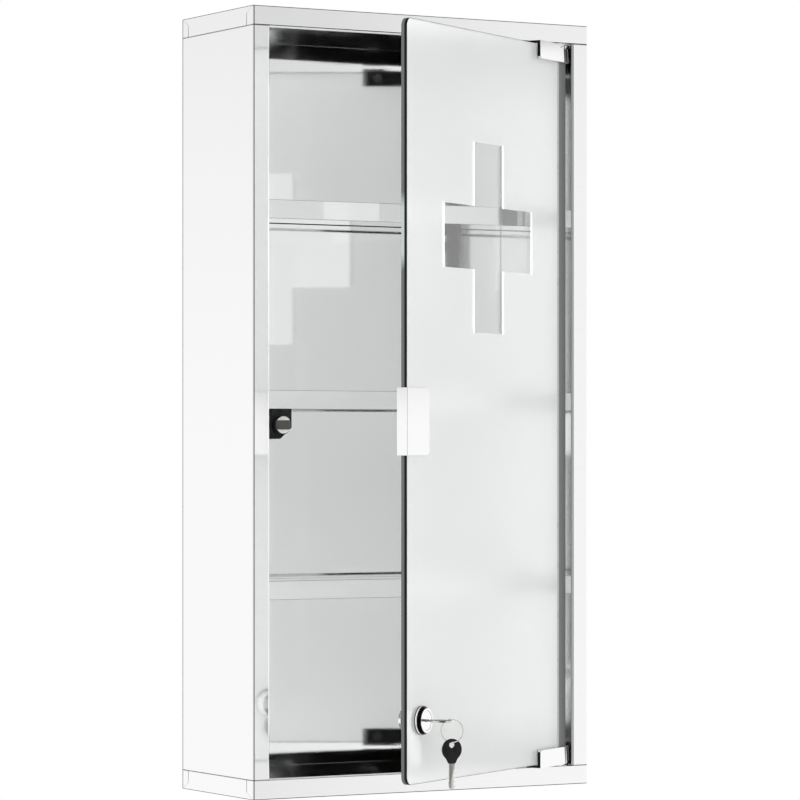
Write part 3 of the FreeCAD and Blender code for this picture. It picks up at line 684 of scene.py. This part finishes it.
def on_collar_slope(face):
    """True on the sloping side of the lock's collar."""
    out = face.center - LOCK_PLACE
    radius = (out - LOCK_AXIS * out.dot(LOCK_AXIS)).length
    return SLOPE[0] < -face.normal.dot(LOCK_AXIS) < SLOPE[1] and radius > SLOPE_INNER


# painted shade: the clip ends and the collar's slope take the dark metal
for node in ("upper_hinge_clip", "lower_hinge_clip"):
    refinish(node, "painted_shade_steel", lambda face: face.normal.dot(DOOR_ALONG) < -END_FACING)
refinish("lock_body", "painted_shade_steel", on_collar_slope)
refinish("key_bow", "nickel_steel", lambda face: abs(face.normal.z) < GRIP_FACING)
refinish("lock_cam", "chrome", lambda face: True)

# %% [markdown]
# The clear window is cut into the pane's own faces along the outline of the cross, so that its edge is crisp and
# stays with the mesh. Eight straight cuts are enough for the cross, and a few more part off the bright strips beside
# it and the margin at the hinge end; then each face takes the finish of the place it lies in. Only the pane's outline
# is rounded. The holes for the fittings are covered, and rounding them would leave thin folds in the clear glass.

# %% Pane
DOOR_OUT = -LOCK_AXIS
UP = Vector((0, 0, 1))
CROSS_CENTRE = PIVOT + DOOR_ALONG * CROSS_MIDDLE + UP * CROSS_HEIGHT
PANE_EDGE = 0.0006
PANE_HEIGHT = 0.5634
PANE_CENTRE = PIVOT + DOOR_ALONG * CROSS_MIDDLE
RIM_REACH = 0.0025
HALO = 0.0026
MARGIN_FROM = -0.0040
FADE_FROM = -0.0070
FLAT_FACING = 0.98
ARM_INNER, ARM_OUTER = 0.5, 1.5
ARM_LINES = (-ARM_OUTER, -ARM_INNER, ARM_INNER, ARM_OUTER)


def in_cross(point):
    """True inside the cross of five squares."""
    offset = point - CROSS_CENTRE
    level, upright = abs(offset.dot(DOOR_ALONG)), abs(offset.z)
    return max(level, upright) < ARM_OUTER * CROSS_ARM and min(level, upright) < ARM_INNER * CROSS_ARM


def in_halo(point):
    """True in the bright strips beside the upright edges of the cross."""
    offset = point - CROSS_CENTRE
    level, upright = offset.dot(DOOR_ALONG), abs(offset.z)
    reach = ARM_OUTER if upright < ARM_INNER * CROSS_ARM else ARM_INNER
    beside = any(0 < side * reach * CROSS_ARM - level < HALO for side in (-1, 1))
    return beside and upright < ARM_OUTER * CROSS_ARM


def on_rim(edge):
    """True along the pane's outline, not round its holes."""
    for vert in edge.verts:
        offset = vert.co - PANE_CENTRE
        level, upright = abs(offset.dot(DOOR_ALONG)), abs(offset.z)
        if min(PANE_WIDTH / 2 - level, PANE_HEIGHT / 2 - upright) > RIM_REACH:
            return False
    return True


def pane_finish(face):
    """The finish of a face of the pane, by the way it faces and the place it lies in."""
    facing_out = face.normal.dot(DOOR_OUT)
    middle = face.calc_center_bounds()
    along = (middle - PIVOT).dot(DOOR_ALONG)
    if abs(facing_out) < FLAT_FACING:
        return "painted_shade_glass_edge"
    if facing_out > 0 and in_halo(middle):
        return "painted_light_frost"
    if facing_out < 0 or in_cross(middle):
        return "clear_window"
    # painted shade: the margin and the fade at the hinge end
    if along > MARGIN_FROM:
        return "painted_shade_margin"
    return "painted_shade_fade" if along > FADE_FROM else "frosted_glass"


pane = stand_for(eased("door_glass", PANE_EDGE, PANE_EDGE, chosen=on_rim), "door_glass")
pane_finishes = ["frosted_glass", "clear_window", "painted_shade_glass_edge", "painted_shade_fade", "painted_shade_margin", "painted_light_frost"]
for name in pane_finishes[1:]:
    pane.data.materials.append(finishes[name])
cuts = [(CROSS_CENTRE + direction * arms * CROSS_ARM, direction)
        for direction in (DOOR_ALONG, UP) for arms in ARM_LINES]
halo_cuts = [CROSS_MIDDLE + arms * CROSS_ARM - HALO for arms in ARM_LINES]
cuts += [(PIVOT + DOOR_ALONG * along, DOOR_ALONG) for along in (MARGIN_FROM, FADE_FROM, *halo_cuts)]
shape = bmesh.new()
shape.from_mesh(pane.data)
for place, direction in cuts:
    everything = shape.verts[:] + shape.edges[:] + shape.faces[:]
    bmesh.ops.bisect_plane(shape, geom=everything, plane_co=place, plane_no=direction)
for face in shape.faces:
    face.material_index = pane_finishes.index(pane_finish(face))
shape.to_mesh(pane.data)
shape.free()
print("pane", len(pane.data.polygons), "faces")

# %% [markdown]
# Four screws hold the hinge plates and two hold the catch: the same slotted screw in two sizes, again and again.
# That is work for Geometry Nodes. The tree below makes one screw from a cone, a cylinder and a slot, and puts it on
# every point it is given, each turned by its own angle, since nobody lines up the slots. The points are the seats
# of the frame's own screws, read from its solids. Modelling one screw and copying it by hand would be as good for
# six, but a tree keeps the sizes as named inputs and serves the catch as well as the hinges.

# %% Screws
SCREW_SEED = 4
HEAD_TAPER = 0.86
SLOT_OVERLENGTH = 3.0
HALF_TURN = math.pi
HEAD_SIDES, SHANK_SIDES = 48, 32
HALF_DOWN = -0.5
BOTH_SIDES = 2.0


def new_tree(name, inputs):
    """An empty geometry tree with named inputs. Returns it, its maker and the inputs' sockets."""
    tree = bpy.data.node_groups.new(name, "GeometryNodeTree")
    tree.interface.new_socket("Geometry", in_out="INPUT", socket_type="NodeSocketGeometry")
    for label, kind in inputs.items():
        tree.interface.new_socket(label, in_out="INPUT", socket_type="NodeSocket" + kind)
    tree.interface.new_socket("Geometry", in_out="OUTPUT", socket_type="NodeSocketGeometry")
    add = node_maker(tree)
    return tree, add, add("NodeGroupInput").outputs


def end_tree(add, given, geometry):
    """Ends a tree: makes the instances real and gives them their finish."""
    real = add("GeometryNodeRealizeInstances", {"Geometry": geometry}).outputs["Geometry"]
    dressed = add("GeometryNodeSetMaterial", {"Geometry": real, "Material": given["Material"]})
    add("NodeGroupOutput", {"Geometry": dressed.outputs["Geometry"]})


def grown(name, tree, values, points=()):
    """The plain mesh that a tree makes from some points and input values."""
    mesh = bpy.data.meshes.new(name)
    mesh.from_pydata(points, [], [])
    piece = bpy.data.objects.new(name, mesh)
    bpy.context.scene.collection.objects.link(piece)
    maker = piece.modifiers.new("maker", "NODES")
    maker.node_group = tree
    for item in tree.interface.items_tree:
        if item.in_out == "INPUT" and item.name in values:
            maker[item.identifier] = values[item.name]
    plain_mesh(piece)
    piece.data.shade_smooth()
    piece.data.set_sharp_from_angle(angle=SHARP_ANGLE)
    return piece


def screw_tree():
    """Slotted screws on points, all along one direction, each turned by its own angle."""
    inputs = {"Head Radius": "Float", "Head Height": "Float", "Slot Width": "Float", "Slot Depth": "Float",
              "Shank Radius": "Float", "Shank Length": "Float", "Direction": "Rotation", "Seed": "Int",
              "Material": "Material"}
    tree, add, given = new_tree("slotted_screws", inputs)

    def times(value, factor):
        return add("ShaderNodeMath", {0: value, 1: factor}, operation="MULTIPLY").outputs["Value"]

    def raised(geometry, lift):
        place = add("ShaderNodeCombineXYZ", {"Z": lift}).outputs["Vector"]
        return add("GeometryNodeTransform", {"Geometry": geometry, "Translation": place}).outputs["Geometry"]

    head = add("GeometryNodeMeshCone", {"Vertices": HEAD_SIDES, "Radius Top": times(given["Head Radius"], HEAD_TAPER),
                                        "Radius Bottom": given["Head Radius"], "Depth": given["Head Height"]})
    slot_size = add("ShaderNodeCombineXYZ", {"X": times(given["Head Radius"], SLOT_OVERLENGTH),
                                             "Y": given["Slot Width"], "Z": times(given["Slot Depth"], BOTH_SIDES)})
    slot = add("GeometryNodeMeshCube", {"Size": slot_size.outputs["Vector"]}).outputs["Mesh"]
    cut = add("GeometryNodeMeshBoolean", {"Mesh 1": head.outputs["Mesh"],
                                          "Mesh 2": raised(slot, given["Head Height"])}).outputs["Mesh"]
    shank = add("GeometryNodeMeshCylinder", {"Vertices": SHANK_SIDES, "Radius": given["Shank Radius"],
                                             "Depth": given["Shank Length"]}).outputs["Mesh"]
    screw = add("GeometryNodeJoinGeometry", {"Geometry": cut}).outputs["Geometry"]
    tree.links.new(raised(shank, times(given["Shank Length"], HALF_DOWN)), screw.node.inputs["Geometry"])
    angle = add("FunctionNodeRandomValue", {2: 0.0, 3: HALF_TURN, "Seed": given["Seed"]}).outputs[1]
    spin = add("FunctionNodeAxisAngleToRotation", {"Angle": angle}).outputs["Rotation"]
    turn = add("FunctionNodeRotateRotation", {"Rotation": given["Direction"], "Rotate By": spin},
               rotation_space="LOCAL").outputs["Rotation"]
    placed = add("GeometryNodeInstanceOnPoints", {"Points": given["Geometry"], "Instance": screw, "Rotation": turn})
    end_tree(add, given, placed.outputs["Instances"])
    return tree


def solids_of(node):
    """The points of each separate solid in a node, always in the same order."""
    shape = bmesh.new()
    shape.from_mesh(frame["nodes"][node].data)
    bmesh.ops.remove_doubles(shape, verts=shape.verts, dist=WELD)
    done = set()
    solids = []
    for start in shape.verts:
        front = [start]
        points = []
        while front:
            vert = front.pop()
            if vert not in done:
                done.add(vert)
                points.append(vert.co.copy())
                front.extend(edge.other_vert(vert) for edge in vert.link_edges)
        if points:
            solids.append(points)
    shape.free()
    return solids


def turn_to(direction):
    """The turn that brings an upright thing to a direction."""
    return tuple(UP.rotation_difference(direction).to_euler())


def screws(node, direction, sizes):
    """Grows a node's screws on the seats of its solids and lets them stand for it."""
    seats = []
    for points in solids_of(node):
        middle = sum(points, Vector()) / len(points)
        heights = [point.dot(direction) for point in points]
        seat = max(heights) - sizes["Head Height"]
        sizes["Shank Length"] = seat - min(heights)
        seats.append(middle + direction * (seat - middle.dot(direction)))
    values = {"Direction": turn_to(direction), "Seed": SCREW_SEED, "Material": finishes[slot_of[node]], **sizes}
    piece = stand_for(grown(node + "_turned", slotted_screws, values, seats), node)
    print(piece.name, len(seats), "screws", len(piece.data.polygons), "faces")


slotted_screws = screw_tree()
screws("hinge_screws", LOCK_AXIS, {"Head Radius": 0.0044, "Head Height": 0.0018, "Slot Width": 0.0009,
                                   "Slot Depth": 0.0007, "Shank Radius": 0.002})
screws("catch_screws", -UP, {"Head Radius": 0.0028, "Head Height": 0.0016, "Slot Width": 0.0009,
                             "Slot Depth": 0.0007, "Shank Radius": 0.0015})

# %% [markdown]
# A key ring is flat spring wire wound nearly twice round, so that a key can be worked along it. A second tree winds
# such a coil: a spiral curve carries a small rounded rectangle along its length. The same tree winds the thread on
# the lock's barrel, which is only another coil with a coarser pitch, and that one joins the mesh of the lock body.

# %% Key ring and barrel thread
COIL_STEPS = 96
RING_COIL = {"Radius": 0.0085, "Turns": 1.9, "Pitch": 0.00036, "Radial Width": 0.0009, "Axial Width": 0.00034}
THREAD_COIL = {"Radius": 0.0080, "Turns": 1.6, "Pitch": 0.0010, "Radial Width": 0.0004, "Axial Width": 0.0005}
THREAD_MIDDLE = 0.0089
CORNER_SHARE = 0.3
CORNER_STEPS = 3


def coil_tree():
    """A coil of wire with a rounded rectangular section, turned to a direction and moved to a place."""
    inputs = {"Radius": "Float", "Turns": "Float", "Pitch": "Float", "Radial Width": "Float",
              "Axial Width": "Float", "Direction": "Rotation", "Place": "Vector", "Material": "Material"}
    tree, add, given = new_tree("wire_coil", inputs)
    height = add("ShaderNodeMath", {0: given["Pitch"], 1: given["Turns"]}, operation="MULTIPLY").outputs["Value"]
    spiral = add("GeometryNodeCurveSpiral", {"Resolution": COIL_STEPS, "Rotations": given["Turns"],
                                             "Start Radius": given["Radius"], "End Radius": given["Radius"],
                                             "Height": height}).outputs["Curve"]
    level = add("GeometryNodeSetCurveNormal", {"Curve": spiral}, mode="Z_UP").outputs["Curve"]
    section = add("GeometryNodeCurvePrimitiveQuadrilateral", {"Width": given["Radial Width"],
                                                              "Height": given["Axial Width"]}).outputs["Curve"]
    corner = add("ShaderNodeMath", {0: given["Axial Width"], 1: CORNER_SHARE}, operation="MULTIPLY").outputs["Value"]
    rounded = add("GeometryNodeFilletCurve", {"Curve": section, "Count": CORNER_STEPS, "Radius": corner}, mode="POLY")
    wire = add("GeometryNodeCurveToMesh", {"Curve": level, "Profile Curve": rounded.outputs["Curve"],
                                           "Fill Caps": True}).outputs["Mesh"]
    drop = add("ShaderNodeMath", {0: height, 1: HALF_DOWN}, operation="MULTIPLY").outputs["Value"]
    down = add("ShaderNodeCombineXYZ", {"Z": drop}).outputs["Vector"]
    centred = add("GeometryNodeTransform", {"Geometry": wire, "Translation": down}).outputs["Geometry"]
    placed = add("GeometryNodeTransform", {"Geometry": centred, "Translation": given["Place"],
                                           "Rotation": given["Direction"]})
    end_tree(add, given, placed.outputs["Geometry"])
    return tree


wire_coil = coil_tree()
ring_points = solids_of("key_ring")[0]
ring_axis = Vector(joint_of["spare_key_swing"]["axis"]).cross(UP)
ring = grown("split_ring", wire_coil, {"Direction": turn_to(ring_axis), "Material": finishes[slot_of["key_ring"]],
                                       "Place": sum(ring_points, Vector()) / len(ring_points), **RING_COIL})
stand_for(ring, "key_ring")
thread_place = LOCK_PLACE + LOCK_AXIS * (THREAD_MIDDLE - (LOCK_PLACE - PIVOT).dot(LOCK_AXIS))
thread = grown("barrel_thread", wire_coil, {"Direction": turn_to(LOCK_AXIS), "Place": thread_place,
                                            "Material": finishes[slot_of["lock_body"]], **THREAD_COIL})
lock_mesh = bpy.data.objects["lock_body_eased"].data
shape = bmesh.new()
shape.from_mesh(lock_mesh)
shape.from_mesh(thread.data)
shape.to_mesh(lock_mesh)
shape.free()
bpy.data.objects.remove(thread)
print("ring", len(ring.data.polygons), "faces; lock body", len(lock_mesh.polygons))

# %% [markdown]
# What is left are small hidden pieces whose solids are right as they are. They only need their finish.

# %% Finish on the remaining solids
for node, obj in frame["nodes"].items():
    obj.data.materials.clear()
    obj.data.materials.append(finishes[slot_of[node]])
print("dressed", len(frame["nodes"]), "solids")
